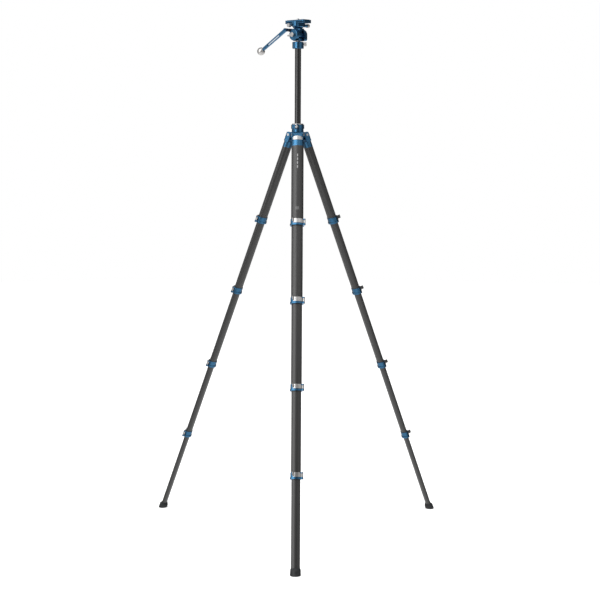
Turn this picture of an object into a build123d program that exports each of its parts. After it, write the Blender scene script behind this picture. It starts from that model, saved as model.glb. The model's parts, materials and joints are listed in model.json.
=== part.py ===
from build123d import *
import math
import os

# Tripod with a two-way fluid head. Millimetres and degrees, +Z up.
# The model is built about the column axis with the floor at Z = 0, and then moved sideways so
# that the origin is the bottom centre of the whole object's box.
#
# Leg frame: origin at the leg's hinge pin, +X outward, +Y along the pin, -Z down the leg.
# A station is a distance down the leg from the pin.
# Head frame: origin under the column axis on the floor, +X the way a lens points, +Y to its left.

# Overall layout
LEG_AZIMUTHS = (-90.0, 30.0, 150.0)
LEG_SPLAY = 21.7
LEG_LENGTH = 1390.8
HINGE_REACH = 24.0
HINGE_HEIGHT = LEG_LENGTH * math.cos(math.radians(LEG_SPLAY))
HEAD_YAW = -45.0

# Fits
GLUE_GAP = 0.05
PIVOT_GAP = 0.05
SLIDE_GAP = 0.35

# Leg tubes: flattened ovals, each one a constant step smaller than the one above
SECTION_COUNT = 5
TUBE_HALF_WIDTH = 19.4
TUBE_HALF_DEPTH = 12.8
TUBE_END_RADIUS = 10.0
TUBE_STEP = 1.45
TUBE_WALL = 1.0
TUBE_INSERT = 25.0
BUSH_LENGTH = 4.0
BUSH_PROUD = 0.15

# Lock collars and levers
LOCK_STATIONS = (297.3, 552.3, 827.0, 1096.5)
COLLAR_HEIGHT = 20.5
COLLAR_WALL = 1.7
RIM_WALL = 3.4
RIM_HEIGHT = 6.0
SLIT_BACK = -1.6
SLIT_FRONT = -0.4
LUG_HEIGHT = 3.2
LUG_RADIUS = 3.6
PIVOT_BEARING = 30.0
LEVER_HUB_RADIUS = 3.3
LEVER_INSIDE = 2.1
LEVER_OUTSIDE = 4.3
LEVER_DROP = 3.7
LEVER_TIP_INSET = 7.5
LEVER_TIP_REACH = 8.0
LEVER_TIP_ASIDE = 3.0
BOLT_RADIUS = 1.5
BOLT_HEAD_RADIUS = 2.7
BOLT_HEAD_HEIGHT = 0.8

# Leg top casting and angle tab
CAP_TOP = 22.0
CAP_BOTTOM = 41.0
SPIGOT_LENGTH = 10.0
FORK_INSIDE = 15.9
FORK_OUTSIDE = 19.5
FORK_FLARE = 2.0
EAR_RADIUS = 9.5
BRIDGE_TOP = 14.2
TAB_HALF_WIDTH = 15.4
TAB_TOP = 9.0
TAB_BACK = 5.0
TAB_ARCH_RADIUS = 41.0
TONGUE_HALF_WIDTH = 5.0
TONGUE_TOP = 15.0
TONGUE_BOTTOM = 20.0
TONGUE_GAP = 0.3

# Foot
FOOT_TOP = 1370.0
FOOT_SHOULDER = 1377.0
FOOT_SOCKET_END = 1381.0
FOOT_HALF_WIDTH = 15.9
FOOT_HALF_DEPTH = 13.5
FOOT_END_RADIUS = 12.0
FOOT_NECK_WALL = 1.4
SOLE_EDGE = 2.0

# Spider and column
HUB_RADIUS = 19.0
HUB_BOTTOM = 1281.0
HUB_TOP = 1310.0
LUG_HALF_WIDTH = 15.5
HINGE_LUG_RADIUS = 8.5
NOSE_REACH = 9.5
NOSE_HALF_WIDTH = 13.0
NOSE_TOP = 2.0
NOSE_BOTTOM = 8.6
PIN_RADIUS = 3.0
PIN_HEAD_RADIUS = 3.7
PIN_HEAD_HEIGHT = 1.2
PIN_SOCKET_RADIUS = 1.5
PIN_SOCKET_DEPTH = 0.8
COLUMN_RADIUS = 10.0
COLUMN_WALL = 1.8
COLUMN_BOTTOM = 1280.0
END_CAP_RADIUS = 10.7
END_CAP_HEIGHT = 4.0
BUSH_RADIUS = 12.0
BUSH_BOTTOM = 1283.0
BUSH_FLANGE_RADIUS = 18.2
BUSH_FLANGE_TOP = 1327.4
CLAMP_RING_RADIUS = 21.0
CLAMP_RING_BOTTOM = 1310.3
CLAMP_RING_TOP = 1324.0
CLAMP_BOSS_AZIMUTH = -120.0
CLAMP_BOSS_START = 16.0
CLAMP_BOSS_END = 27.5
CLAMP_BOSS_HALF_WIDTH = 5.5
CLAMP_HALF_SLIT = 0.75
CLAMP_BOLT_RADIUS = 2.0
CLAMP_SCREW_REACH = 24.5
CLAMP_SCREW_HEIGHT = 1317.0

# Head base and pan parts
BASE_RADIUS = 18.25
BASE_BOTTOM = 1565.0
BASE_TOP = 1586.0
BASE_SOCKET_TOP = 1573.0
PAN_SHAFT_RADIUS = 5.0
PAN_FLANGE_RADIUS = 7.6
PAN_FLANGE_TOP = 1587.8
PAN_SHAFT_TOP = 1595.6
PAN_KNOB_HEIGHT = 1578.6
PAN_SCREW_RADIUS = 2.5
SEAM_HEIGHT = 1575.2
SEAM_WIDTH = 0.7
SEAM_DEPTH = 0.7
YOKE_BOTTOM = 1589.3
YOKE_FLOOR = 1596.0
YOKE_HALF_WIDTH = 7.0
YOKE_BOSS_RADIUS = 12.0
CHEEK_RADIUS = 18.0
CHEEK_CORNER = 6.0
CHEEK_INSIDE = 12.0
NEAR_CHEEK_OUTSIDE = 23.0
FAR_CHEEK_OUTSIDE = 25.0
CHEEK_EDGE = 2.4
TILT_HEIGHT = 1608.0
AXLE_RADIUS = 4.0
AXLE_HEAD_RADIUS = 7.0
AXLE_SOCKET_RADIUS = 2.2
AXLE_NEAR_END = 23.9
CARTRIDGE_RADIUS = 12.0
CARTRIDGE_END = 18.6

# Tilt body and clamp
BARREL_RADIUS = 11.0
BARREL_HALF_LENGTH = 11.6
PLATFORM_BACK = -31.0
PLATFORM_FRONT = 18.0
PLATFORM_BOTTOM = 1622.0
PLATFORM_TOP = 1627.5
PLATFORM_CORNER = 4.0
CONE_BOTTOM_RADIUS = 13.0
CONE_TOP_RADIUS = 19.0
CLAMP_HALF_LENGTH = 15.0
CLAMP_HALF_WIDTH = 23.0
CLAMP_CORNER = 12.0
CLAMP_JAW_BOTTOM = 1634.5
KNOB_AXIS_HEIGHT = 1637.5
CLAMP_KNOB_FORWARD = -10.0
CLAMP_SCREW_RADIUS = 2.5
CLAMP_KNOB_START = 26.0
RELEASE_KNOB_FORWARD = 12.0
RELEASE_PIN_RADIUS = 3.0
RELEASE_BOSS_RADIUS = 5.0
RELEASE_BOSS_END = 26.8
RELEASE_KNOB_START = 27.3

# Quick-release plate: a standard dovetail, 38 mm across the bottom
PLATE_BOTTOM = 1644.0
PLATE_SLAB_BOTTOM = 1649.5
PLATE_TOP = 1654.0
PLATE_HALF_LENGTH = 42.5
PLATE_HALF_WIDTH = 19.0
PLATE_WAIST = 16.2
PLATE_CORNER = 6.0
PAD_THICKNESS = 1.0
CAMERA_SCREW_RADIUS = 3.175
CAMERA_SCREW_NECK = 2.6
CAMERA_SCREW_STANDOUT = 5.0
SCREW_RECESS_RADIUS = 9.4
SCREW_RECESS_DEPTH = 4.4
SCREW_HEAD_RADIUS = 9.0
SCREW_HEAD_START = 0.5
SCREW_HEAD_THICKNESS = 3.5
PLATE_CLEARANCE = 0.3

# Pan handle
ROSETTE_FORWARD = -25.0
ROSETTE_HEIGHT = 1623.5
ROSETTE_RADIUS = 4.9
ROSETTE_START = 14.0
ROSETTE_END = 22.4
ROSETTE_TEETH = 12
WASHER_END = 25.2
KNUCKLE_RADIUS = 5.2
BAR_END_HALF_WIDTH = 4.6
BAR_HALF_THICKNESS = 3.2
BAR_SLOT_MIDDLE = 62.0
BAR_SLOT_LENGTH = 62.0
BAR_SLOT_WIDTH = 5.6
HANDLE_SIDE = -31.5
HANDLE_DROOP = 29.0
HANDLE_LENGTH = 129.5
BALL_RADIUS = 12.7
NECK_RADIUS = 4.2
NECK_SEAT = 6.0

# Knob heads: radius, length, number of flutes, flute radius
COLUMN_KNOB = (4.4, 7.5, 6, 1.1)
PAN_KNOB = (6.2, 8.6, 8, 1.3)
TILT_LOCK_HUB = (7.4, 6.2, 10, 0.9)
CLAMP_KNOB = (6.2, 9.5, 10, 1.0)
RELEASE_KNOB = (6.0, 8.5, 10, 1.0)
TILT_ARM_LENGTH = 22.0
TILT_ARM_WIDTH = 5.0
TILT_ARM_HALF_THICKNESS = 1.4

BOTTOM_ALIGN = (Align.CENTER, Align.CENTER, Align.MIN)


# Simple bodies

def block(x_low, x_high, y_low, y_high, z_low, z_high):
    middle = Pos((x_low + x_high) / 2, (y_low + y_high) / 2, (z_low + z_high) / 2)
    return middle * Box(x_high - x_low, y_high - y_low, z_high - z_low)


def rod_z(radius, low, high, x=0.0, y=0.0):
    return Pos(x, y, low) * Cylinder(radius, high - low, align=BOTTOM_ALIGN)


def rod_y(radius, low, high, x=0.0, z=0.0):
    return Pos(x, low, z) * Rot(-90, 0, 0) * Cylinder(radius, high - low, align=BOTTOM_ALIGN)


def rod_x(radius, low, high, y=0.0, z=0.0):
    return Pos(low, y, z) * Rot(0, 90, 0) * Cylinder(radius, high - low, align=BOTTOM_ALIGN)


def fluted_head(radius, length, flutes, flute_radius):
    """Round knob head standing on Z = 0, with finger flutes round its rim and a rounded far edge."""
    head = Cylinder(radius, length, align=BOTTOM_ALIGN)
    head = fillet(head.edges().group_by(Axis.Z)[-1], radius * 0.14)
    for number in range(flutes):
        head -= Rot(0, 0, 360 * number / flutes) * rod_z(flute_radius, -1, length + 1, radius * 1.06)
    return head


# Legs

def hinge_place(azimuth):
    return Rot(0, 0, azimuth) * Pos(HINGE_REACH, 0, HINGE_HEIGHT)


def leg_place(azimuth):
    return hinge_place(azimuth) * Rot(0, -LEG_SPLAY, 0)


def tube_size(section, offset=0.0):
    """Half width, half depth and end radius of a section's outline, grown by an offset."""
    grow = offset - TUBE_STEP * (section - 1)
    return TUBE_HALF_WIDTH + grow, TUBE_HALF_DEPTH + grow, TUBE_END_RADIUS + grow


def face_arc(half_width, half_depth, end_radius):
    """Radius of the two wide face arcs and how far their centres lie behind the middle."""
    reach = half_width - end_radius
    radius = (half_depth**2 + reach**2 - end_radius**2) / (2 * (half_depth - end_radius))
    return radius, radius - half_depth


def oval(half_width, half_depth, end_radius):
    """Two wide face arcs joined by two tight end arcs, all tangent."""
    reach = half_width - end_radius
    radius, setback = face_arc(half_width, half_depth, end_radius)
    x = end_radius * setback / (radius - end_radius)
    y = reach + end_radius * reach / (radius - end_radius)
    outline = [
        ThreePointArc((x, -y), (half_depth, 0), (x, y)),
        ThreePointArc((x, y), (0, half_width), (-x, y)),
        ThreePointArc((-x, y), (-half_depth, 0), (-x, -y)),
        ThreePointArc((-x, -y), (0, -half_width), (x, -y)),
    ]
    return Face(Wire(outline))


def oval_bar(size, top, bottom):
    return extrude(Pos(0, 0, -bottom) * oval(*size), bottom - top, dir=(0, 0, 1))


def oval_tube(outside, inside, top, bottom):
    return oval_bar(outside, top, bottom) - oval_bar(inside, top - 1, bottom + 1)


def section_top(section):
    if section == 1:
        return CAP_BOTTOM
    return LOCK_STATIONS[section - 2] + COLLAR_HEIGHT / 2 - TUBE_INSERT


def section_bottom(section):
    if section == SECTION_COUNT:
        return FOOT_SOCKET_END - GLUE_GAP
    return LOCK_STATIONS[section - 1] - GLUE_GAP


def leg_tube(section):
    top = section_top(section)
    if section > 1:
        top += BUSH_LENGTH
    outside = tube_size(section)
    return oval_tube(outside, tube_size(section, -TUBE_WALL), top, section_bottom(section))


def top_bush(section):
    """Guide ring on the upper end of a sliding tube, a little proud of it."""
    top = section_top(section)
    outside = tube_size(section, BUSH_PROUD)
    return oval_tube(outside, tube_size(section, -TUBE_WALL), top, top + BUSH_LENGTH)


def lever_pivot(section):
    """X and Y of a lock lever's pivot in the leg's cross-section."""
    half_width, _, end_radius = tube_size(section)
    reach = end_radius + COLLAR_WALL + SLIDE_GAP + LEVER_HUB_RADIUS
    bearing = math.radians(PIVOT_BEARING)
    return reach * math.sin(bearing), half_width - end_radius + reach * math.cos(bearing)


def lock_lug(section, top, bottom):
    """Ear of a lock collar: a round end over the lever's pivot and a web back to the collar."""
    half_width, _, end_radius = tube_size(section)
    x, y = lever_pivot(section)
    corner = half_width - end_radius
    web = Pos(0, corner, 0) * Rot(0, 0, 90 - PIVOT_BEARING)
    web *= block(0, math.hypot(x, y - corner), -LUG_RADIUS, LUG_RADIUS, -bottom, -top)
    return web + rod_z(LUG_RADIUS, -bottom, -top, x, y)


def lock_collar(section):
    """Collar bonded to the lower end of a tube, which clamps the next tube below it."""
    centre = LOCK_STATIONS[section - 1]
    top = centre - COLLAR_HEIGHT / 2
    bottom = centre + COLLAR_HEIGHT / 2
    half_width = tube_size(section)[0]
    rim = oval_bar(tube_size(section, RIM_WALL), bottom - RIM_HEIGHT, bottom)
    collar = oval_bar(tube_size(section, COLLAR_WALL), top, bottom) + rim
    collar += lock_lug(section, top, top + LUG_HEIGHT)
    collar += lock_lug(section, bottom - RIM_HEIGHT, bottom)
    collar -= oval_bar(tube_size(section, GLUE_GAP), top - 1, centre)
    collar -= oval_bar(tube_size(section + 1, SLIDE_GAP), centre - 1, bottom + 1)
    collar -= block(SLIT_BACK, SLIT_FRONT, half_width - 4, half_width + 6, -bottom - 1, -centre - 2)
    x, y = lever_pivot(section)
    return collar - rod_z(BOLT_RADIUS + PIVOT_GAP, -bottom - 1, -top + 1, x, y)


def lock_bolt(section):
    """Pivot bolt of a lock lever, with a round head above and a hexagon nut below."""
    centre = LOCK_STATIONS[section - 1]
    low = -centre - COLLAR_HEIGHT / 2
    high = -centre + COLLAR_HEIGHT / 2
    x, y = lever_pivot(section)
    bolt = rod_z(BOLT_RADIUS, low, high, x, y)
    bolt += rod_z(BOLT_HEAD_RADIUS, high, high + BOLT_HEAD_HEIGHT, x, y)
    nut = extrude(RegularPolygon(BOLT_HEAD_RADIUS, 6), BOLT_HEAD_HEIGHT)
    return bolt + Pos(x, y, low - BOLT_HEAD_HEIGHT) * nut


def leg_section(section):
    pieces = [leg_tube(section)]
    if section > 1:
        pieces.append(top_bush(section))
    if section < SECTION_COUNT:
        pieces.append(lock_collar(section))
        pieces.append(lock_bolt(section))
    return pieces


def lever_tip(section, top, bottom):
    """Finger tip that leans outward from the free end of a lock lever's band."""
    half_width = tube_size(section)[0]
    thickness = LEVER_OUTSIDE - LEVER_INSIDE
    middle = (LEVER_OUTSIDE + LEVER_INSIDE) / 2
    radius, setback = face_arc(*tube_size(section, middle))
    start_y = LEVER_TIP_INSET - half_width
    start_x = math.sqrt(radius**2 - start_y**2) - setback
    angle = math.degrees(math.atan2(-LEVER_TIP_ASIDE, LEVER_TIP_REACH))
    run = math.hypot(LEVER_TIP_REACH, LEVER_TIP_ASIDE)
    outline = Rot(0, 0, angle) * SlotCenterToCenter(run, thickness)
    outline = Pos(start_x + LEVER_TIP_REACH / 2, start_y - LEVER_TIP_ASIDE / 2, -bottom) * outline
    return extrude(outline, bottom - top, dir=(0, 0, 1))


def lock_lever(section):
    """Over-centre lever: a curved band round the outer face, a hub on the pivot and a tip."""
    centre = LOCK_STATIONS[section - 1]
    top = centre - COLLAR_HEIGHT / 2 + SLIDE_GAP
    low = centre + LEVER_DROP
    hub_top = centre - COLLAR_HEIGHT / 2 + LUG_HEIGHT + SLIDE_GAP
    half_width = tube_size(section)[0]
    x, y = lever_pivot(section)
    band = oval_tube(tube_size(section, LEVER_OUTSIDE), tube_size(section, LEVER_INSIDE), top, low)
    free_end = LEVER_TIP_INSET - 1 - half_width
    lever = band & block(0, 40, free_end, half_width - 3, -low, -top)
    lever += band & block(x, 40, half_width - 3.5, half_width + 9, -low, -hub_top)
    lever += rod_z(LEVER_HUB_RADIUS, -low, -hub_top, x, y)
    lever += lever_tip(section, top, centre + 1)
    return lever - rod_z(BOLT_RADIUS + PIVOT_GAP, -low - 1, -top, x, y)


def top_casting():
    """Leg top: a cap and spigot for the first tube, and a fork that takes the hinge pin."""
    casting = oval_bar(tube_size(1), CAP_TOP, CAP_BOTTOM)
    casting += oval_bar(tube_size(1, -TUBE_WALL - GLUE_GAP), CAP_BOTTOM, CAP_BOTTOM + SPIGOT_LENGTH)
    envelope = oval_bar(tube_size(1, FORK_FLARE), -EAR_RADIUS - 1, CAP_TOP + 1)
    for side in (-1, 1):
        near, far = sorted((side * FORK_INSIDE, side * FORK_OUTSIDE))
        ear = rod_y(EAR_RADIUS, near, far) + block(-EAR_RADIUS, EAR_RADIUS, near, far, -CAP_TOP - 1, 0)
        casting += ear & envelope
    casting += block(-EAR_RADIUS, TAB_BACK - 0.4, -FORK_INSIDE, FORK_INSIDE, -CAP_TOP, -BRIDGE_TOP)
    slot = TONGUE_HALF_WIDTH + TONGUE_GAP
    casting -= block(-5, TAB_BACK, -slot, slot, -TONGUE_BOTTOM - TONGUE_GAP, -TONGUE_TOP + TONGUE_GAP)
    return casting - rod_y(PIN_RADIUS + PIVOT_GAP, -FORK_OUTSIDE - 1, FORK_OUTSIDE + 1)


def angle_tab():
    """Pull-out stop between the fork's ears: a curved plate with an arched top and a tongue."""
    plate = oval_bar(tube_size(1, 1.0), TAB_TOP, CAP_TOP - 0.4)
    plate &= block(TAB_BACK, 20, -TAB_HALF_WIDTH, TAB_HALF_WIDTH, -CAP_TOP, 0)
    plate &= rod_x(TAB_ARCH_RADIUS, 0, 20, z=-TAB_TOP - TAB_ARCH_RADIUS)
    width = TONGUE_HALF_WIDTH
    return plate + block(-4, TAB_BACK + 1, -width, width, -TONGUE_BOTTOM, -TONGUE_TOP)


def foot(azimuth):
    """Rubber foot in its place, with its sole cut level with the floor."""
    neck = Pos(0, 0, -FOOT_TOP) * oval(*tube_size(SECTION_COUNT, FOOT_NECK_WALL))
    shoulder = Pos(0, 0, -FOOT_SHOULDER) * oval(FOOT_HALF_WIDTH, FOOT_HALF_DEPTH, FOOT_END_RADIUS)
    boot = loft([shoulder, neck])
    boot += oval_bar((FOOT_HALF_WIDTH, FOOT_HALF_DEPTH, FOOT_END_RADIUS), FOOT_SHOULDER, LEG_LENGTH + 12)
    boot -= oval_bar(tube_size(SECTION_COUNT, GLUE_GAP), FOOT_TOP - 1, FOOT_SOCKET_END)
    placed = leg_place(azimuth) * boot
    placed &= block(-1000, 1000, -1000, 1000, 0, 100)
    return fillet(placed.edges().group_by(Axis.Z)[0], SOLE_EDGE)


# Spider and column

def hinge_lug():
    """Spider lug about the hinge pin, with the stop nose that the angle tab meets."""
    lug = rod_y(HINGE_LUG_RADIUS, -LUG_HALF_WIDTH, LUG_HALF_WIDTH)
    lug += block(-14, 0, -LUG_HALF_WIDTH, LUG_HALF_WIDTH, -HINGE_LUG_RADIUS, HINGE_LUG_RADIUS)
    nose = block(2, NOSE_REACH, -NOSE_HALF_WIDTH, NOSE_HALF_WIDTH, -NOSE_BOTTOM, -NOSE_TOP)
    lug += Rot(0, -LEG_SPLAY, 0) * nose
    return lug - rod_y(PIN_RADIUS + PIVOT_GAP, -30, 30)


def spider_body():
    spider = rod_z(HUB_RADIUS, HUB_BOTTOM, HUB_TOP)
    for azimuth in LEG_AZIMUTHS:
        spider += hinge_place(azimuth) * hinge_lug()
    for azimuth in LEG_AZIMUTHS:
        spider -= hinge_place(azimuth) * rod_y(PIN_RADIUS + PIVOT_GAP, -FORK_OUTSIDE, FORK_OUTSIDE)
    return spider - rod_z(BUSH_RADIUS + GLUE_GAP, HUB_BOTTOM - 1, HUB_TOP + 1)


def hinge_pin(azimuth):
    head_start = FORK_OUTSIDE + 0.3
    head_end = head_start + PIN_HEAD_HEIGHT
    pin = rod_y(PIN_RADIUS, -head_start, head_start)
    for side in (-1, 1):
        low, high = sorted((side * head_start, side * head_end))
        pin += rod_y(PIN_HEAD_RADIUS, low, high)
        socket_low, socket_high = sorted((side * (head_end - PIN_SOCKET_DEPTH), side * (head_end + 1)))
        pin -= rod_y(PIN_SOCKET_RADIUS, socket_low, socket_high)
    return hinge_place(azimuth) * pin


def column_guide_bush():
    bush = rod_z(BUSH_RADIUS, BUSH_BOTTOM, CLAMP_RING_TOP)
    bush += rod_z(BUSH_FLANGE_RADIUS, CLAMP_RING_TOP, BUSH_FLANGE_TOP)
    bush -= rod_z(COLUMN_RADIUS + PIVOT_GAP, BUSH_BOTTOM - 1, BUSH_FLANGE_TOP + 1)
    return chamfer(bush.edges().group_by(Axis.Z)[-1], 0.8)


def column_clamp_collar():
    """Split ring round the bush, with a boss that takes the lock screw."""
    ring = rod_z(CLAMP_RING_RADIUS, CLAMP_RING_BOTTOM, CLAMP_RING_TOP)
    ring = chamfer(ring.edges(), 1.0)
    width = CLAMP_BOSS_HALF_WIDTH
    boss = block(CLAMP_BOSS_START, CLAMP_BOSS_END, -width, width, CLAMP_RING_BOTTOM, CLAMP_RING_TOP)
    boss = fillet(boss.edges().filter_by(Axis.Z).sort_by(Axis.X)[-2:], 2.0)
    ring += Rot(0, 0, CLAMP_BOSS_AZIMUTH) * boss
    ring -= rod_z(BUSH_RADIUS + SLIDE_GAP, CLAMP_RING_BOTTOM - 1, CLAMP_RING_TOP + 1)
    slit = block(10, 30, -CLAMP_HALF_SLIT, CLAMP_HALF_SLIT, CLAMP_RING_BOTTOM - 1, CLAMP_RING_TOP + 1)
    screw_hole = rod_y(CLAMP_BOLT_RADIUS + PIVOT_GAP, -6, 6, CLAMP_SCREW_REACH, CLAMP_SCREW_HEIGHT)
    return ring - Rot(0, 0, CLAMP_BOSS_AZIMUTH) * (slit + screw_hole)


def column_lock_knob():
    knob = rod_y(CLAMP_BOLT_RADIUS, -5.4, 9, CLAMP_SCREW_REACH, CLAMP_SCREW_HEIGHT)
    head = Pos(CLAMP_SCREW_REACH, 7.0, CLAMP_SCREW_HEIGHT) * Rot(-90, 0, 0)
    return Rot(0, 0, CLAMP_BOSS_AZIMUTH) * (knob + head * fluted_head(*COLUMN_KNOB))


def column_tube():
    top = BASE_SOCKET_TOP - GLUE_GAP
    bore = rod_z(COLUMN_RADIUS - COLUMN_WALL, COLUMN_BOTTOM - 1, top + 1)
    return rod_z(COLUMN_RADIUS, COLUMN_BOTTOM, top) - bore


def column_end_cap():
    """Plug in the column's lower end with a flange that stops against the hub."""
    cap = rod_z(END_CAP_RADIUS, COLUMN_BOTTOM - END_CAP_HEIGHT, COLUMN_BOTTOM)
    cap = fillet(cap.edges().group_by(Axis.Z)[0], 1.5)
    return cap + rod_z(COLUMN_RADIUS - COLUMN_WALL - GLUE_GAP, COLUMN_BOTTOM, COLUMN_BOTTOM + 8)


# Head

def head_base_collar():
    """Collar on the column's top, with the pan bearing bore and a seam groove round it."""
    base = rod_z(BASE_RADIUS, BASE_BOTTOM, BASE_TOP)
    base = chamfer(base.edges(), 1.2)
    groove = rod_z(BASE_RADIUS + 1, SEAM_HEIGHT, SEAM_HEIGHT + SEAM_WIDTH)
    base -= groove - rod_z(BASE_RADIUS - SEAM_DEPTH, SEAM_HEIGHT - 1, SEAM_HEIGHT + 2)
    base -= rod_z(COLUMN_RADIUS + GLUE_GAP, BASE_BOTTOM - 1, BASE_SOCKET_TOP)
    base -= rod_z(PAN_SHAFT_RADIUS + GLUE_GAP, BASE_SOCKET_TOP - 1, BASE_TOP + 1)
    return base - rod_x(PAN_SCREW_RADIUS + PIVOT_GAP, PAN_SHAFT_RADIUS, BASE_RADIUS + 1, z=PAN_KNOB_HEIGHT)


def pan_shaft():
    """Fixed vertical shaft with the friction flange that the pan housing turns above."""
    shaft = rod_z(PAN_SHAFT_RADIUS, BASE_SOCKET_TOP + 0.5, PAN_SHAFT_TOP)
    return shaft + rod_z(PAN_FLANGE_RADIUS, BASE_TOP + 0.1, PAN_FLANGE_TOP)


def pan_lock_knob():
    knob = rod_x(PAN_SCREW_RADIUS, PAN_SHAFT_RADIUS + 1, 20, z=PAN_KNOB_HEIGHT)
    return knob + Pos(18.7, 0, PAN_KNOB_HEIGHT) * Rot(0, 90, 0) * fluted_head(*PAN_KNOB)


def near_cheek():
    """Round cheek on the side of the handle, with a softened outer edge."""
    cheek = rod_y(CHEEK_RADIUS, -NEAR_CHEEK_OUTSIDE, -CHEEK_INSIDE, z=TILT_HEIGHT)
    return fillet(cheek.edges().group_by(Axis.Y)[0], CHEEK_EDGE)


def far_cheek():
    """Cheek that is round above the tilt axle and square with rounded corners below it."""
    depth = TILT_HEIGHT - YOKE_BOTTOM
    lower = Pos(0, -depth / 2) * Rectangle(2 * CHEEK_RADIUS, depth)
    outline = Circle(CHEEK_RADIUS) + fillet(lower.vertices().group_by(Axis.Y)[0], CHEEK_CORNER)
    cheek = extrude(outline, FAR_CHEEK_OUTSIDE - CHEEK_INSIDE)
    cheek = Pos(0, FAR_CHEEK_OUTSIDE, TILT_HEIGHT) * Rot(90, 0, 0) * cheek
    return fillet(cheek.edges().group_by(Axis.Y)[-1], CHEEK_EDGE)


def pan_housing():
    """Yoke with two cheeks that carry the tilt axle; the near cheek holds the cartridge."""
    reach = (CHEEK_INSIDE + NEAR_CHEEK_OUTSIDE) / 2
    yoke = block(-YOKE_HALF_WIDTH, YOKE_HALF_WIDTH, -reach, reach, YOKE_BOTTOM, YOKE_FLOOR)
    yoke += rod_z(YOKE_BOSS_RADIUS, YOKE_BOTTOM, YOKE_FLOOR)
    yoke += near_cheek()
    yoke += far_cheek()
    yoke -= rod_y(AXLE_RADIUS + PIVOT_GAP, -30, 30, z=TILT_HEIGHT)
    yoke -= rod_y(CARTRIDGE_RADIUS + 0.4, -CARTRIDGE_END - 0.4, -CHEEK_INSIDE + 1, z=TILT_HEIGHT)
    return yoke - rod_z(PAN_SHAFT_RADIUS + PIVOT_GAP, YOKE_BOTTOM - 1, YOKE_FLOOR + 1)


def tilt_axle():
    face = FAR_CHEEK_OUTSIDE
    axle = rod_y(AXLE_RADIUS, -AXLE_NEAR_END, face + 1, z=TILT_HEIGHT)
    head = rod_y(AXLE_HEAD_RADIUS, face + 0.3, face + 3.0, z=TILT_HEIGHT)
    head = fillet(head.edges().group_by(Axis.Y)[-1], 0.8)
    return axle + head - rod_y(AXLE_SOCKET_RADIUS, face + 1.2, face + 4, z=TILT_HEIGHT)


def tilt_drag_cartridge():
    """Fluid drag drum keyed on the axle inside the near cheek."""
    drum = rod_y(CARTRIDGE_RADIUS, -CARTRIDGE_END, -CHEEK_INSIDE, z=TILT_HEIGHT)
    return drum - rod_y(AXLE_RADIUS + GLUE_GAP, -20, 0, z=TILT_HEIGHT)


def tilt_body():
    """Barrel on the axle, a neck, and a platform with a boss for the handle rosette."""
    body = rod_y(BARREL_RADIUS, -BARREL_HALF_LENGTH, BARREL_HALF_LENGTH, z=TILT_HEIGHT)
    body += block(-8, 8, -10, 10, TILT_HEIGHT, PLATFORM_BOTTOM + 1)
    width = BARREL_HALF_LENGTH
    platform = block(PLATFORM_BACK, PLATFORM_FRONT, -width, width, PLATFORM_BOTTOM, PLATFORM_TOP)
    body += fillet(platform.edges().filter_by(Axis.Z), PLATFORM_CORNER)
    body += rod_y(ROSETTE_RADIUS + 0.5, -ROSETTE_START, 0, ROSETTE_FORWARD, ROSETTE_HEIGHT)
    return body - rod_y(AXLE_RADIUS + GLUE_GAP, -20, 20, z=TILT_HEIGHT)


def tilt_lock_lever():
    hub = Pos(0, -NEAR_CHEEK_OUTSIDE - 0.4, TILT_HEIGHT) * Rot(90, 0, 0) * fluted_head(*TILT_LOCK_HUB)
    arm = Pos(-11, -25.6, TILT_HEIGHT - 1.5) * Rot(0, -8, 0) * Rot(90, 0, 0)
    arm *= extrude(SlotOverall(TILT_ARM_LENGTH, TILT_ARM_WIDTH), TILT_ARM_HALF_THICKNESS, both=True)
    return hub + arm - rod_y(AXLE_RADIUS + SLIDE_GAP, -24.4, -20, z=TILT_HEIGHT)


def handle_rosette():
    """Toothed rosette on the tilt body's boss, and the washer between it and the handle."""
    rosette = rod_y(ROSETTE_RADIUS, -ROSETTE_END, -ROSETTE_START - GLUE_GAP, ROSETTE_FORWARD, ROSETTE_HEIGHT)
    for number in range(ROSETTE_TEETH):
        notch = block(2, 6, -ROSETTE_END - 0.2, -ROSETTE_END + 1, -0.45, 0.45)
        turned = Rot(0, 360 * number / ROSETTE_TEETH, 0) * notch
        rosette -= Pos(ROSETTE_FORWARD, 0, ROSETTE_HEIGHT) * turned
    washer = rod_y(KNUCKLE_RADIUS, -WASHER_END, -ROSETTE_END - GLUE_GAP, ROSETTE_FORWARD, ROSETTE_HEIGHT)
    return [rosette, washer]


def handle_bar():
    """Flat bar with a long slot, its root knuckle at the rosette and its neck at the ball."""
    reach = HANDLE_LENGTH - BALL_RADIUS - 4
    root = KNUCKLE_RADIUS
    tip = BAR_END_HALF_WIDTH
    outline = Polygon((0, root), (-reach, tip), (-reach, -tip), (0, -root), align=None)
    bar = extrude(outline, BAR_HALF_THICKNESS, both=True)
    slot = Pos(-BAR_SLOT_MIDDLE, 0) * SlotOverall(BAR_SLOT_LENGTH, BAR_SLOT_WIDTH)
    bar -= extrude(slot, BAR_HALF_THICKNESS + 1, both=True)
    bar = Rot(90, 0, 0) * bar
    bar += rod_x(NECK_RADIUS, -HANDLE_LENGTH + BALL_RADIUS - NECK_SEAT, -reach + 6)
    bar = Rot(0, -HANDLE_DROOP, 0) * bar
    bar += rod_y(KNUCKLE_RADIUS, -5.5, 5.9)
    bar -= rod_y(2.4, -8, -3.9)
    return Pos(ROSETTE_FORWARD, HANDLE_SIDE, ROSETTE_HEIGHT) * bar


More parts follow.
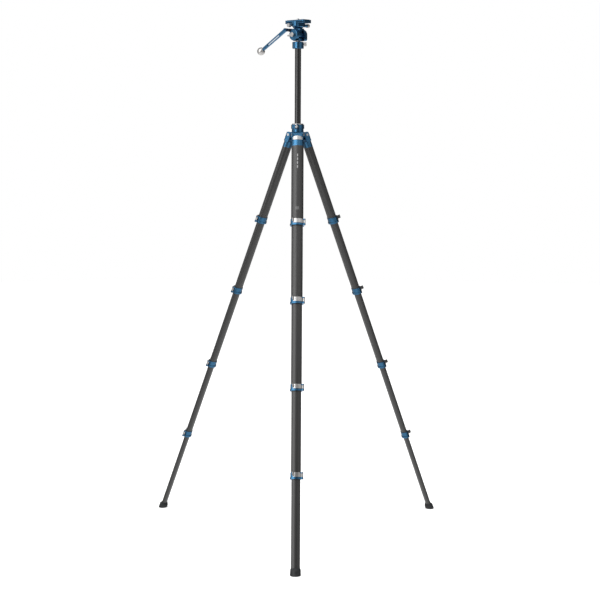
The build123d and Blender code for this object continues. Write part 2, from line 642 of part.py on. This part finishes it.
def handle_knob():
    ball = Pos(-HANDLE_LENGTH, 0, 0) * Rot(0, 0, 180) * Sphere(BALL_RADIUS)
    ball -= rod_x(NECK_RADIUS + GLUE_GAP, -HANDLE_LENGTH + BALL_RADIUS - NECK_SEAT, 0)
    return Pos(ROSETTE_FORWARD, HANDLE_SIDE, ROSETTE_HEIGHT) * Rot(0, -HANDLE_DROOP, 0) * ball


def plate_profile(grow):
    """Cross-section of the dovetail plate in Y and Z, grown all round by a clearance."""
    bottom = PLATE_BOTTOM - grow
    wide = PLATE_HALF_WIDTH + grow
    waist = PLATE_WAIST + grow
    shoulder = PLATE_SLAB_BOTTOM - grow
    right = [
        (wide, bottom),
        (wide, bottom + 1.6 + grow),
        (waist, shoulder - 1.2 + grow),
        (waist, shoulder),
        (wide, shoulder),
        (wide, PLATE_TOP),
    ]
    left = [(-y, z) for y, z in reversed(right)]
    return make_face(Plane.YZ * Polyline(*right, *left, close=True))


def qr_clamp():
    """Clamp that tapers down to the tilt platform, with jaws over the plate's dovetail."""
    cone_bottom = PLATFORM_TOP + GLUE_GAP
    cone_height = CLAMP_JAW_BOTTOM - cone_bottom + 0.25
    cone = Cone(CONE_BOTTOM_RADIUS, CONE_TOP_RADIUS, cone_height, align=BOTTOM_ALIGN)
    jaw_top = PLATE_SLAB_BOTTOM - PLATE_CLEARANCE
    outline = RectangleRounded(2 * CLAMP_HALF_LENGTH, 2 * CLAMP_HALF_WIDTH, CLAMP_CORNER)
    jaws = extrude(Pos(0, 0, CLAMP_JAW_BOTTOM) * outline, jaw_top - CLAMP_JAW_BOTTOM)
    jaws = chamfer(jaws.edges().group_by(Axis.Z)[0], 2.0)
    clamp = jaws + Pos(0, 0, cone_bottom) * cone
    clamp += rod_y(RELEASE_BOSS_RADIUS, 14, RELEASE_BOSS_END, RELEASE_KNOB_FORWARD, KNOB_AXIS_HEIGHT)
    clamp -= extrude(Pos(-60, 0, 0) * plate_profile(PLATE_CLEARANCE), 120, dir=(1, 0, 0))
    clamp -= rod_y(CLAMP_SCREW_RADIUS + PIVOT_GAP, -30, -12, CLAMP_KNOB_FORWARD, KNOB_AXIS_HEIGHT)
    return clamp - rod_y(RELEASE_PIN_RADIUS + PIVOT_GAP, 10, 30, RELEASE_KNOB_FORWARD, KNOB_AXIS_HEIGHT)


def clamp_knob():
    knob = rod_y(CLAMP_SCREW_RADIUS, -CLAMP_KNOB_START - 1, -12.5, CLAMP_KNOB_FORWARD, KNOB_AXIS_HEIGHT)
    knob += rod_y(4.0, -CLAMP_KNOB_START - 1, -23.6, CLAMP_KNOB_FORWARD, KNOB_AXIS_HEIGHT)
    head = Pos(CLAMP_KNOB_FORWARD, -CLAMP_KNOB_START, KNOB_AXIS_HEIGHT) * Rot(90, 0, 0)
    return knob + head * fluted_head(*CLAMP_KNOB)


def plate_release_knob():
    start = RELEASE_KNOB_START
    knob = rod_y(RELEASE_PIN_RADIUS, 14, start + 1, RELEASE_KNOB_FORWARD, KNOB_AXIS_HEIGHT)
    head = Pos(RELEASE_KNOB_FORWARD, start, KNOB_AXIS_HEIGHT) * Rot(-90, 0, 0)
    return knob + head * fluted_head(*RELEASE_KNOB)


def qr_plate():
    """Dovetail plate with rounded corners and a counterbore below for the camera screw."""
    plate = extrude(Pos(-PLATE_HALF_LENGTH, 0, 0) * plate_profile(0), 2 * PLATE_HALF_LENGTH, dir=(1, 0, 0))
    outline = RectangleRounded(2 * PLATE_HALF_LENGTH, 2 * PLATE_HALF_WIDTH, PLATE_CORNER)
    plate &= extrude(Pos(0, 0, PLATE_BOTTOM) * outline, PLATE_TOP - PLATE_BOTTOM)
    plate -= rod_z(SCREW_RECESS_RADIUS, PLATE_BOTTOM - 1, PLATE_BOTTOM + SCREW_RECESS_DEPTH)
    return plate - rod_z(CAMERA_SCREW_RADIUS + PIVOT_GAP, PLATE_BOTTOM, PLATE_TOP + 1)


def plate_pad():
    outline = RectangleRounded(2 * PLATE_HALF_LENGTH - 8, 2 * PLATE_HALF_WIDTH - 7, 4.0)
    pad = extrude(Pos(0, 0, PLATE_TOP) * outline, PAD_THICKNESS)
    return pad - rod_z(5.0, PLATE_TOP - 1, PLATE_TOP + 3)


def camera_screw():
    head_bottom = PLATE_BOTTOM + SCREW_HEAD_START
    head_top = head_bottom + SCREW_HEAD_THICKNESS
    head = rod_z(SCREW_HEAD_RADIUS, head_bottom, head_top)
    head -= block(-1.0, 1.0, -12, 12, PLATE_BOTTOM, head_bottom + 1.1)
    face = PLATE_TOP + PAD_THICKNESS
    thread = rod_z(CAMERA_SCREW_RADIUS, face, face + CAMERA_SCREW_STANDOUT)
    thread = chamfer(thread.edges().group_by(Axis.Z)[-1], 0.5)
    return head + rod_z(CAMERA_SCREW_NECK, head_top - 1, face) + thread


# Assembly

def leg_nodes():
    nodes = {}
    for number, azimuth in enumerate(LEG_AZIMUTHS, start=1):
        place = leg_place(azimuth)
        nodes[f"leg_{number}_top_casting"] = [place * top_casting()]
        nodes[f"leg_{number}_angle_tab"] = [place * angle_tab()]
        for section in range(1, SECTION_COUNT + 1):
            nodes[f"leg_{number}_section_{section}"] = [place * piece for piece in leg_section(section)]
        for section in range(1, SECTION_COUNT):
            nodes[f"leg_{number}_lever_{section}"] = [place * lock_lever(section)]
        nodes[f"leg_{number}_foot"] = [foot(azimuth)]
    return nodes


def column_nodes():
    return {
        "spider_body": [spider_body()],
        "hinge_pins": [hinge_pin(azimuth) for azimuth in LEG_AZIMUTHS],
        "column_guide_bush": [column_guide_bush()],
        "column_clamp_collar": [column_clamp_collar()],
        "column_lock_knob": [column_lock_knob()],
        "column_tube": [column_tube()],
        "column_end_cap": [column_end_cap()],
        "head_base_collar": [head_base_collar()],
        "pan_shaft": [pan_shaft()],
        "pan_lock_knob": [pan_lock_knob()],
    }


def head_nodes():
    pieces = {
        "pan_housing": [pan_housing()],
        "tilt_axle": [tilt_axle()],
        "tilt_drag_cartridge": [tilt_drag_cartridge()],
        "tilt_body": [tilt_body()],
        "tilt_lock_lever": [tilt_lock_lever()],
        "handle_rosette": handle_rosette(),
        "handle_bar": [handle_bar()],
        "handle_knob": [handle_knob()],
        "qr_clamp": [qr_clamp()],
        "clamp_knob": [clamp_knob()],
        "plate_release_knob": [plate_release_knob()],
        "qr_plate": [qr_plate()],
        "plate_pad": [plate_pad()],
        "camera_screw": [camera_screw()],
    }
    turn = Rot(0, 0, HEAD_YAW)
    return {name: [turn * piece for piece in parts] for name, parts in pieces.items()}


def gather(pieces):
    """One compound of the separate solids in a node."""
    return Compound([solid for piece in pieces for solid in piece.solids()])


def all_nodes():
    nodes = {**column_nodes(), **head_nodes(), **leg_nodes()}
    return {name: gather(pieces) for name, pieces in nodes.items()}


def frame_shift(nodes):
    """Sideways move that puts the origin under the middle of the whole object's box."""
    boxes = [shape.bounding_box() for shape in nodes.values()]
    x = (min(box.min.X for box in boxes) + max(box.max.X for box in boxes)) / 2
    y = (min(box.min.Y for box in boxes) + max(box.max.Y for box in boxes)) / 2
    return Pos(-x, -y, 0)


def main():
    os.makedirs("parts", exist_ok=True)
    nodes = all_nodes()
    shift = frame_shift(nodes)
    for name, shape in nodes.items():
        export_step(shift * shape, f"parts/{name}.step")


if __name__ == "__main__":
    main()
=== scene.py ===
import json
import math

import bmesh
import bpy
import numpy as np
from mathutils import Matrix, Vector
from mathutils.geometry import convex_hull_2d


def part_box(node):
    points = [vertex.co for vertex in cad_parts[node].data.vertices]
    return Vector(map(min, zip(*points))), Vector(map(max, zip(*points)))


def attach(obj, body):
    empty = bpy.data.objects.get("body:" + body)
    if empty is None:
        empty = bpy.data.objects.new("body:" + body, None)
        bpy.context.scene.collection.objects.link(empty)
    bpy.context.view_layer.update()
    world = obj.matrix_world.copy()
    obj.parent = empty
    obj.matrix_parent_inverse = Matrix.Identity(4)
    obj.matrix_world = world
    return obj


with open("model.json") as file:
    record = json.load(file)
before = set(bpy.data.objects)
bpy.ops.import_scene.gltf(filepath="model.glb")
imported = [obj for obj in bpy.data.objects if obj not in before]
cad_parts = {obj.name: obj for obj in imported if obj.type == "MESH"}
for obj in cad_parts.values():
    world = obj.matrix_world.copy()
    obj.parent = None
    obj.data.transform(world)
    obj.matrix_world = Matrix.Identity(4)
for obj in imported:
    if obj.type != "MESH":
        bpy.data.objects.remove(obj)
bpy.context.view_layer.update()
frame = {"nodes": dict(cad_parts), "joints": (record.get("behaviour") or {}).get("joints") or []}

MM = 0.001

# Camera and stage
CAMERA_BACK = 4.690
CAMERA_SIDE = 0.0099
CAMERA_HEIGHT = 1.259
CAMERA_PITCH = 6.1
CAMERA_ROLL = 0.26
LENS = 87.0
FLOOR_RADIUS = 9.0

# Brightness of the room in reflections, from straight down (0) to straight up (1)
ROOM_GLOW = (
    (0.0, 1.3),
    (0.24, 1.2),
    (0.30, 0.75),
    (0.36, 0.35),
    (0.44, 0.25),
    (0.50, 0.14),
    (0.62, 0.12),
    (1.0, 0.35),
)
DIFFUSE_GLOW = 1.18

# Softboxes: name, azimuth, distance, height, width, length, radiance.
# Azimuth 0 is the camera's side and positive is right.
SOFTBOXES = (
    ("key_softbox", -42, 4.0, 3.2, 3.2, 6.6, 3.1),
    ("left_softbox", -95, 4.2, 2.4, 3.2, 5.0, 0.85),
    ("fill_softbox", 52, 4.2, 2.2, 3.4, 5.0, 0.6),
    ("front_softbox", 6, 3.0, 4.4, 4.4, 2.6, 0.9),
    ("top_softbox", 180, 0.6, 5.2, 2.2, 2.2, 1.5),
)
SOFTBOX_AIM = 0.9

# Leg tubes
SECTIONS = 5
LOCKS = 4
TOW_WIDTH = 2.0 * MM
BOLT_SPAN = 8 * MM
BUSH_HEIGHT = 10 * MM

# Lever faces that look further than this to the free end, the back of its tip, get painted shade in
# black
TIP_SHADE_FACING = -0.6

# Paler edges in patches, painted edge highlight as well as rubbed wear, and printed marks
EDGE_SHEEN_AND_WEAR = 0.35 * MM
PRINT_LIFT = 0.12 * MM
PRINT_STEPS = 12
DASH_STATIONS = (70, 83, 96, 109)
DASH_LENGTH = 9
DASH_HALF_WIDTH = 1.6 * MM
BLOCK_STATIONS = (247 * MM, 257 * MM)
BLOCK_HALF_WIDTH = 5.5 * MM

# Pan shaft: wider than this is its flange
FLANGE_SPLIT = 6.0 * MM

nodes = frame["nodes"]
joints = {joint["name"]: joint for joint in frame["joints"]}
column_low, column_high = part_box("column_tube")
AXIS = Vector(((column_low.x + column_high.x) / 2, (column_low.y + column_high.y) / 2, 0))
scene = bpy.context.scene


# Material graphs

class Graph:
    """A Principled material with short calls for the nodes that drive it."""

    def __init__(self, name, **values):
        self.material = bpy.data.materials.new(name)
        self.material.use_nodes = True
        self.tree = self.material.node_tree
        self.shader = self.tree.nodes["Principled BSDF"]
        self.set(**values)

    def set(self, **values):
        for key, value in values.items():
            socket = self.shader.inputs[key.replace("_", " ")]
            if isinstance(value, bpy.types.NodeSocket):
                self.tree.links.new(value, socket)
            elif isinstance(value, tuple):
                socket.default_value = (*value, 1.0)
            else:
                socket.default_value = value

    def node(self, kind, inputs=None, **settings):
        made = self.tree.nodes.new(kind)
        for key, value in settings.items():
            setattr(made, key, value)
        for key, value in (inputs or {}).items():
            if isinstance(value, bpy.types.NodeSocket):
                self.tree.links.new(value, made.inputs[key])
            else:
                made.inputs[key].default_value = value
        return made

    def math(self, operation, *values):
        made = self.node("ShaderNodeMath", dict(enumerate(values)), operation=operation)
        return made.outputs[0]

    def place(self):
        return self.node("ShaderNodeTexCoord").outputs["Object"]

    def stretched(self, scale):
        mapped = self.node("ShaderNodeMapping", {"Vector": self.place(), "Scale": scale})
        return mapped.outputs["Vector"]

    def noise(self, scale, detail=2.0, vector=None):
        inputs = {"Vector": vector or self.place(), "Scale": scale, "Detail": detail}
        return self.node("ShaderNodeTexNoise", inputs).outputs["Fac"]

    def ramp(self, factor, *stops):
        """Grey or coloured ramp through (position, value) stops."""
        made = self.node("ShaderNodeValToRGB", {"Fac": factor})
        elements = made.color_ramp.elements
        while len(elements) < len(stops):
            elements.new(0.5)
        for element, (position, value) in zip(elements, stops):
            element.position = position
            element.color = (*value, 1.0) if isinstance(value, tuple) else (value, value, value, 1.0)
        return made.outputs["Color"]

    def edges(self, radius):
        """1 along sharp edges and 0 on the faces between them."""
        rounded = self.node("ShaderNodeBevel", {"Radius": radius}, samples=4).outputs["Normal"]
        flat = self.node("ShaderNodeNewGeometry").outputs["Normal"]
        turned = self.node("ShaderNodeVectorMath", {0: rounded, 1: flat}, operation="DOT_PRODUCT")
        return self.ramp(turned.outputs["Value"], (0.90, 1.0), (0.985, 0.0))

    def bump(self, height, strength, distance):
        inputs = {"Height": height, "Strength": strength, "Distance": distance}
        self.set(Normal=self.node("ShaderNodeBump", inputs).outputs["Normal"])


def anodised(name, dark, light, rough_low, rough_high, sheen_and_wear_colour):
    """Fine-blasted anodised aluminium with a slight mottle in its dye and paler edges in patches, which
    are a painted edge highlight as well as rubbed wear.
    """
    graph = Graph(name, Metallic=1.0)
    mottle = graph.noise(60.0, 3.0)
    dye = graph.ramp(mottle, (0.3, dark), (0.7, light))
    patches = graph.ramp(graph.noise(220.0, 4.0), (0.42, 0), (0.62, 1))
    # Paler colour along edges in patches: painted edge highlight as well as rubbed wear
    sheen_and_wear = graph.math("MULTIPLY", graph.edges(EDGE_SHEEN_AND_WEAR), patches)
    colour = graph.node("ShaderNodeMix", {0: sheen_and_wear, 6: dye, 7: (*sheen_and_wear_colour, 1.0)}, data_type="RGBA")
    graph.set(Base_Color=colour.outputs[2])
    grain = graph.noise(2600.0, 2.0)
    graph.set(Roughness=graph.ramp(grain, (0.3, rough_low), (0.7, rough_high)))
    graph.bump(grain, 0.12, 0.05 * MM)
    return graph.material


def machined(name, dark, light, rough_low, rough_high, stretch):
    """Bright metal with fine tool marks across one direction."""
    graph = Graph(name, Metallic=1.0)
    streaks = graph.noise(1400.0, 2.0, graph.stretched(stretch))
    cloud = graph.noise(45.0, 2.0)
    tone = graph.math("MULTIPLY_ADD", streaks, 0.4, graph.math("MULTIPLY", cloud, 0.6))
    graph.set(Base_Color=graph.ramp(tone, (0.3, dark), (0.7, light)))
    graph.set(Roughness=graph.ramp(streaks, (0.3, rough_low), (0.7, rough_high)))
    graph.bump(streaks, 0.04, 0.02 * MM)
    return graph.material


def carbon_twill():
    """Clear-coated 2 by 2 twill, laid out on the tubes' own unrolled coordinates, with painted sheen on
    the warp tows and on each tow's crown.
    """
    graph = Graph("carbon_twill", Roughness=0.50, Specular_IOR_Level=0.2)
    graph.set(Coat_Weight=0.85, Coat_Roughness=0.30)
    unrolled = graph.node("ShaderNodeUVMap", uv_map="weave").outputs["UV"]
    parts = graph.node("ShaderNodeSeparateXYZ", {"Vector": unrolled})
    across, along = parts.outputs["X"], parts.outputs["Y"]
    column = graph.math("FLOOR", across)
    row = graph.math("FLOOR", along)
    step = graph.math("FLOORED_MODULO", graph.math("ADD", column, row), 4.0)
    warp_on_top = graph.math("LESS_THAN", step, 1.5)
    ridge_warp = graph.math("SINE", graph.math("MULTIPLY", graph.math("FRACT", across), math.pi))
    ridge_weft = graph.math("SINE", graph.math("MULTIPLY", graph.math("FRACT", along), math.pi))
    picked = graph.node(
        "ShaderNodeMix", {0: warp_on_top, 2: ridge_weft, 3: ridge_warp}, data_type="FLOAT"
    ).outputs[0]
    fibres = graph.noise(3200.0, 2.0)
    # Lighter warp tows and lighter tow crowns are painted sheen standing in for the fibres' reflection
    # by direction and curvature
    tone = graph.math("MULTIPLY_ADD", warp_on_top, 0.42, graph.math("MULTIPLY", picked, 0.38))
    tone = graph.math("MULTIPLY_ADD", fibres, 0.2, tone)
    graph.set(Base_Color=graph.ramp(tone, (0.1, (0.003, 0.003, 0.003)), (0.95, (0.015, 0.0145, 0.014))))
    graph.bump(picked, 0.25, 0.1 * MM)
    return graph.material


def gloss_black():
    graph = Graph("gloss_black", Roughness=0.20, Coat_Weight=0.25, Coat_Roughness=0.08)
    cloud = graph.noise(25.0, 3.0)
    graph.set(Base_Color=graph.ramp(cloud, (0.3, 0.0045), (0.7, 0.0075)))
    graph.bump(graph.noise(1800.0), 0.03, 0.03 * MM)
    return graph.material


def rubber():
    graph = Graph("moulded_rubber", Specular_IOR_Level=0.35)
    cloud = graph.noise(140.0, 4.0)
    graph.set(Base_Color=graph.ramp(cloud, (0.3, (0.006, 0.007, 0.008)), (0.7, (0.013, 0.0145, 0.016))))
    graph.set(Roughness=graph.ramp(cloud, (0.3, 0.42), (0.7, 0.62)))
    graph.bump(graph.noise(1500.0, 3.0), 0.35, 0.12 * MM)
    return graph.material


def ribbed_pad():
    """Rubber pad with fine moulded ribs."""
    graph = Graph("ribbed_pad")
    cloud = graph.noise(300.0, 3.0)
    graph.set(Base_Color=graph.ramp(cloud, (0.3, 0.016), (0.7, 0.028)))
    graph.set(Roughness=graph.ramp(cloud, (0.3, 0.6), (0.7, 0.8)))
    inputs = {"Vector": graph.place(), "Scale": 420.0}
    ribs = graph.node("ShaderNodeTexWave", inputs, bands_direction="DIAGONAL").outputs["Fac"]
    graph.bump(ribs, 0.6, 0.3 * MM)
    return graph.material


def moulded_black():
    graph = Graph("moulded_black")
    cloud = graph.noise(220.0, 3.0)
    graph.set(Base_Color=graph.ramp(cloud, (0.3, 0.014), (0.7, 0.022)))
    graph.set(Roughness=graph.ramp(cloud, (0.3, 0.32), (0.7, 0.46)))
    graph.bump(graph.noise(2400.0), 0.15, 0.05 * MM)
    return graph.material


def screen_print(name, low, high):
    graph = Graph(name, Coat_Weight=0.6, Coat_Roughness=0.15)
    cloud = graph.noise(900.0, 3.0)
    graph.set(Base_Color=graph.ramp(cloud, (0.3, low), (0.7, high)))
    graph.set(Roughness=graph.ramp(cloud, (0.3, 0.45), (0.7, 0.6)))
    return graph.material


BLUE = anodised(
    "blue_anodised", (0.036, 0.115, 0.212), (0.047, 0.143, 0.258), 0.24, 0.33, (0.16, 0.27, 0.38)
)
SILVER = machined("satin_silver", (0.40, 0.395, 0.39), (0.50, 0.495, 0.49), 0.27, 0.34, (1, 1, 6))
TURNED = machined("turned_silver", (0.43, 0.42, 0.41), (0.51, 0.50, 0.49), 0.24, 0.30, (1, 1, 1))
STEEL = machined("bright_steel", (0.44, 0.44, 0.45), (0.53, 0.53, 0.54), 0.22, 0.30, (1, 1, 3))
CARBON = carbon_twill()
BLACK = gloss_black()
RUBBER = rubber()
PAD = ribbed_pad()
PLASTIC = moulded_black()
PALE_PRINT = screen_print("pale_print", 0.16, 0.23)
FAINT_PRINT = screen_print("faint_print", 0.035, 0.06)

WHOLE_NODE_LOOKS = {
    BLUE: (
        "spider_body", "column_clamp_collar", "head_base_collar", "pan_housing", "tilt_body",
        "handle_bar", "qr_clamp", "qr_plate",
    ),
    TURNED: (
        "column_lock_knob", "pan_lock_knob", "handle_knob", "clamp_knob", "plate_release_knob",
        "tilt_lock_lever", "column_guide_bush",
    ),
    STEEL: ("hinge_pins", "tilt_axle", "camera_screw"),
    BLACK: ("column_tube",),
    PLASTIC: ("column_end_cap", "tilt_drag_cartridge"),
    PAD: ("plate_pad",),
}


def paint(node, *materials):
    slots = nodes[node].data.materials
    slots.clear()
    for material in materials:
        slots.append(material)


for look, names in WHOLE_NODE_LOOKS.items():
    for name in names:
        paint(name, look)


# Separate solids inside one node

def vertices_of(node):
    mesh = nodes[node].data
    flat = np.zeros(len(mesh.vertices) * 3, np.float32)
    mesh.vertices.foreach_get("co", flat)
    return flat.reshape(-1, 3).astype(float)


def solids_in(node):
    """Vertex indices of each closed solid in a node, found by shared corner positions."""
    points = vertices_of(node)
    _, label = np.unique(np.round(points / 1e-6).astype(np.int64), axis=0, return_inverse=True)
    label = label.ravel()
    parent = list(range(int(label.max()) + 1))

    def root(item):
        while parent[item] != item:
            parent[item] = parent[parent[item]]
            item = parent[item]
        return item

    for polygon in nodes[node].data.polygons:
        first = root(int(label[polygon.vertices[0]]))
        for vertex in polygon.vertices[1:]:
            other = root(int(label[vertex]))
            parent[other] = first
    groups = {}
    for index, item in enumerate(label):
        groups.setdefault(root(int(item)), []).append(index)
    return points, list(groups.values())


def leg_frame(number):
    """Origin at the hinge pin, X outward, Y along the pin and Z up the leg."""
    fold = joints[f"leg_{number}_fold"]
    up = -Vector(joints[f"leg_{number}_extend_2"]["axis"])
    pin = -Vector(fold["axis"])
    out = pin.cross(up)
    turn = Matrix((out, pin, up)).transposed().to_4x4()
    return Matrix.Translation(Vector(fold["pos_m"])) @ turn


def to_leg(points, place):
    inverse = np.array(place.inverted())
    return points @ inverse[:3, :3].T + inverse[:3, 3]


def outline_of(section):
    """Corners round a tube's outer wall in order, with their angles and the running length."""
    hull = convex_hull_2d([tuple(point) for point in section])
    ring = section[hull]
    ring = ring[np.argsort(np.arctan2(ring[:, 1], ring[:, 0]))]
    closed = np.vstack([ring, ring[:1]])
    length = np.concatenate([[0.0], np.cumsum(np.hypot(*np.diff(closed, axis=0).T))])
    return ring, np.arctan2(ring[:, 1], ring[:, 0]), length


def unroll(node, members, place):
    """Writes the weave coordinates of a tube: tows round it and tows along it."""
    mesh = nodes[node].data
    layer = mesh.uv_layers.get("weave") or mesh.uv_layers.new(name="weave")
    points = to_leg(vertices_of(node), place)
    _, angle, length = outline_of(points[members][:, :2])
    tows = 4 * round(length[-1] / TOW_WIDTH / 4)
    inside = set(members)
    table_angle = np.append(angle, angle[0] + 2 * math.pi)
    for polygon in mesh.polygons:
        if polygon.vertices[0] not in inside:
            continue
        bearing = np.arctan2(points[list(polygon.vertices), 1], points[list(polygon.vertices), 0])
        if bearing.max() - bearing.min() > math.pi:
            bearing[bearing < 0] += 2 * math.pi
        for loop, turn, vertex in zip(polygon.loop_indices, bearing, polygon.vertices):
            run = np.interp(turn, table_angle, length)
            layer.data[loop].uv = (run / length[-1] * tows, points[vertex, 2] / TOW_WIDTH)


def dress_section(number, section, place):
    """Carbon on the tube, blue on the lock collar, steel on the bolt, black on the bush."""
    node = f"leg_{number}_section_{section}"
    points, groups = solids_in(node)
    local = to_leg(points, place)
    paint(node, CARBON, BLUE, STEEL, PLASTIC)
    spans = [np.ptp(local[group], axis=0) for group in groups]
    tube = max(range(len(groups)), key=lambda k: spans[k][2])
    look = {}
    for k, (group, span) in enumerate(zip(groups, spans)):
        if k == tube:
            slot = 0
        elif span[1] < BOLT_SPAN:
            slot = 2
        elif span[2] > BUSH_HEIGHT:
            slot = 1
        else:
            slot = 3
        look.update(dict.fromkeys(group, slot))
    for polygon in nodes[node].data.polygons:
        polygon.material_index = look[polygon.vertices[0]]
    unroll(node, groups[tube], place)
    return local[groups[tube]]


def dress_lever(node, place):
    """Satin silver lever with painted shade in black on the back of its finger tip."""
    paint(node, SILVER, PLASTIC)
    pin = place.to_3x3().col[1]
    for polygon in nodes[node].data.polygons:
        # Faces turned towards the free end take the black slot: painted shade
        polygon.material_index = 1 if polygon.normal.dot(pin) < TIP_SHADE_FACING else 0


leg_places = {number: leg_frame(number) for number in (1, 2, 3)}
first_tubes = {}
for number, place in leg_places.items():
    for section in range(1, SECTIONS + 1):
        tube = dress_section(number, section, place)
        if section == 1:
            first_tubes[number] = tube
    for lock in range(1, LOCKS + 1):
        dress_lever(f"leg_{number}_lever_{lock}", place)
    paint(f"leg_{number}_top_casting", BLUE)
    paint(f"leg_{number}_angle_tab", SILVER)
    paint(f"leg_{number}_foot", RUBBER)


def printed_mark(name, look, number, half_width, stations):
    """Thin closed patch of print that follows the front of a leg's first tube."""
    ring = outline_of(first_tubes[number][:, :2])[0]
    front = ring[ring[:, 0] > 0]
    front = front[np.argsort(front[:, 1])]
    mesh = bmesh.new()
    sheets = []
    for lift in (0.0, PRINT_LIFT):
        rows = []
        for station in stations:
            row = []
            for step in range(PRINT_STEPS + 1):
                y = -half_width + 2 * half_width * step / PRINT_STEPS
                x = float(np.interp(y, front[:, 1], front[:, 0])) + lift
                row.append(mesh.verts.new(leg_places[number] @ Vector((x, y, -station))))
            rows.append(row)
        sheets.append(rows)
    for upper, lower in sheets:
        for step in range(PRINT_STEPS):
            mesh.faces.new([upper[step], upper[step + 1], lower[step + 1], lower[step]])
    inside, outside = [upper[::-1] + lower for upper, lower in sheets]
    for k in range(len(inside)):
        mesh.faces.new([inside[k - 1], inside[k], outside[k], outside[k - 1]])
    bmesh.ops.recalc_face_normals(mesh, faces=mesh.faces)
    data = bpy.data.meshes.new(name)
    mesh.to_mesh(data)
    mesh.free()
    data.materials.append(look)
    piece = bpy.data.objects.new(name, data)
    scene.collection.objects.link(piece)
    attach(piece, f"leg_{number}_stage_1")


for count, station in enumerate(DASH_STATIONS, start=1):
    ends = (station * MM, (station + DASH_LENGTH) * MM)
    printed_mark(f"front_dash_{count}", PALE_PRINT, 1, DASH_HALF_WIDTH, ends)
printed_mark("front_size_block", FAINT_PRINT, 1, BLOCK_HALF_WIDTH, BLOCK_STATIONS)


def dress_rosette():
    """Black toothed rosette with a pale washer."""
    node = "handle_rosette"
    points, groups = solids_in(node)
    paint(node, PLASTIC, TURNED)
    counts = [len(group) for group in groups]
    for k, group in enumerate(groups):
        slot = 0 if counts[k] == max(counts) else 1
        inside = set(group)
        for polygon in nodes[node].data.polygons:
            if polygon.vertices[0] in inside:
                polygon.material_index = slot


dress_rosette()


def dress_pan_shaft():
    """Bright stem with a black friction flange."""
    mesh = nodes["pan_shaft"].data
    paint("pan_shaft", STEEL, PLASTIC)
    for polygon in mesh.polygons:
        reach = max((mesh.vertices[vertex].co.xy - AXIS.xy).length for vertex in polygon.vertices)
        polygon.material_index = 1 if reach > FLANGE_SPLIT else 0


dress_pan_shaft()


# Camera, floor and lights

def add_camera():
    data = bpy.data.cameras.new("camera")
    data.lens = LENS
    data.sensor_width = 36.0
    camera = bpy.data.objects.new("camera", data)
    scene.collection.objects.link(camera)
    tilt = Matrix.Rotation(math.radians(90 - CAMERA_PITCH), 4, "X")
    roll = Matrix.Rotation(math.radians(CAMERA_ROLL), 4, "Z")
    eye = AXIS + Vector((CAMERA_SIDE, -CAMERA_BACK, CAMERA_HEIGHT))
    camera.matrix_world = Matrix.Translation(eye) @ tilt @ roll
    scene.camera = camera


def add_floor():
    graph = Graph("pale_floor", Roughness=0.9, Specular_IOR_Level=0.0)
    cloud = graph.noise(1.5, 2.0)
    graph.set(Base_Color=graph.ramp(cloud, (0.3, 0.90), (0.7, 0.93)))
    mesh = bpy.data.meshes.new("floor")
    ring = [
        (FLOOR_RADIUS * math.cos(k * math.pi / 32), FLOOR_RADIUS * math.sin(k * math.pi / 32), 0)
        for k in range(64)
    ]
    mesh.from_pydata(ring, [], [list(range(64))])
    mesh.materials.append(graph.material)
    floor = bpy.data.objects.new("floor", mesh)
    scene.collection.objects.link(floor)
    floor.visible_glossy = False


def add_softbox(name, azimuth, distance, height, width, length, radiance):
    """White panel that faces the column and that the camera doesn't see."""
    data = bpy.data.lights.new(name, "AREA")
    data.shape = "RECTANGLE"
    data.size = width
    data.size_y = length
    data.energy = radiance * math.pi * width * length
    lamp = bpy.data.objects.new(name, data)
    scene.collection.objects.link(lamp)
    turn = math.radians(azimuth)
    spot = AXIS + Vector((math.sin(turn) * distance, -math.cos(turn) * distance, height))
    gaze = AXIS + Vector((0, 0, SOFTBOX_AIM)) - spot
    lamp.matrix_world = Matrix.Translation(spot) @ gaze.to_track_quat("-Z", "Y").to_matrix().to_4x4()
    lamp.visible_camera = False


def room_glow(tree):
    """Brightness of the room by how high a reflected ray points."""
    place = tree.nodes.new("ShaderNodeTexCoord")
    sides = tree.nodes.new("ShaderNodeSeparateXYZ")
    lift = tree.nodes.new("ShaderNodeMapRange")
    lift.inputs["From Min"].default_value = -1.0
    room = tree.nodes.new("ShaderNodeValToRGB")
    tree.links.new(place.outputs["Generated"], sides.inputs[0])
    tree.links.new(sides.outputs["Z"], lift.inputs["Value"])
    tree.links.new(lift.outputs[0], room.inputs["Fac"])
    stops = room.color_ramp.elements
    while len(stops) < len(ROOM_GLOW):
        stops.new(0.5)
    for stop, (height, glow) in zip(stops, ROOM_GLOW):
        stop.position = height
        stop.color = (glow, glow, glow, 1.0)
    return room.outputs[0]


def add_world():
    """White behind the object, even white fill, and a dimmer room in the reflections."""
    world = bpy.data.worlds.new("studio")
    scene.world = world
    world.use_nodes = True
    tree = world.node_tree
    path = tree.nodes.new("ShaderNodeLightPath")
    reflected = tree.nodes.new("ShaderNodeMath")
    reflected.operation = "MULTIPLY"
    tree.links.new(path.outputs["Is Glossy Ray"], reflected.inputs[0])
    tree.links.new(room_glow(tree), reflected.inputs[1])
    diffuse = tree.nodes.new("ShaderNodeMath")
    diffuse.operation = "MULTIPLY_ADD"
    diffuse.inputs[1].default_value = DIFFUSE_GLOW
    tree.links.new(path.outputs["Is Diffuse Ray"], diffuse.inputs[0])
    tree.links.new(reflected.outputs[0], diffuse.inputs[2])
    total = tree.nodes.new("ShaderNodeMath")
    tree.links.new(path.outputs["Is Camera Ray"], total.inputs[0])
    tree.links.new(diffuse.outputs[0], total.inputs[1])
    sky = tree.nodes["Background"]
    sky.inputs["Color"].default_value = (1.0, 1.0, 1.0, 1.0)
    tree.links.new(total.outputs[0], sky.inputs["Strength"])


add_camera()
add_floor()
for softbox in SOFTBOXES:
    add_softbox(*softbox)
add_world()
scene.view_settings.view_transform = "Standard"
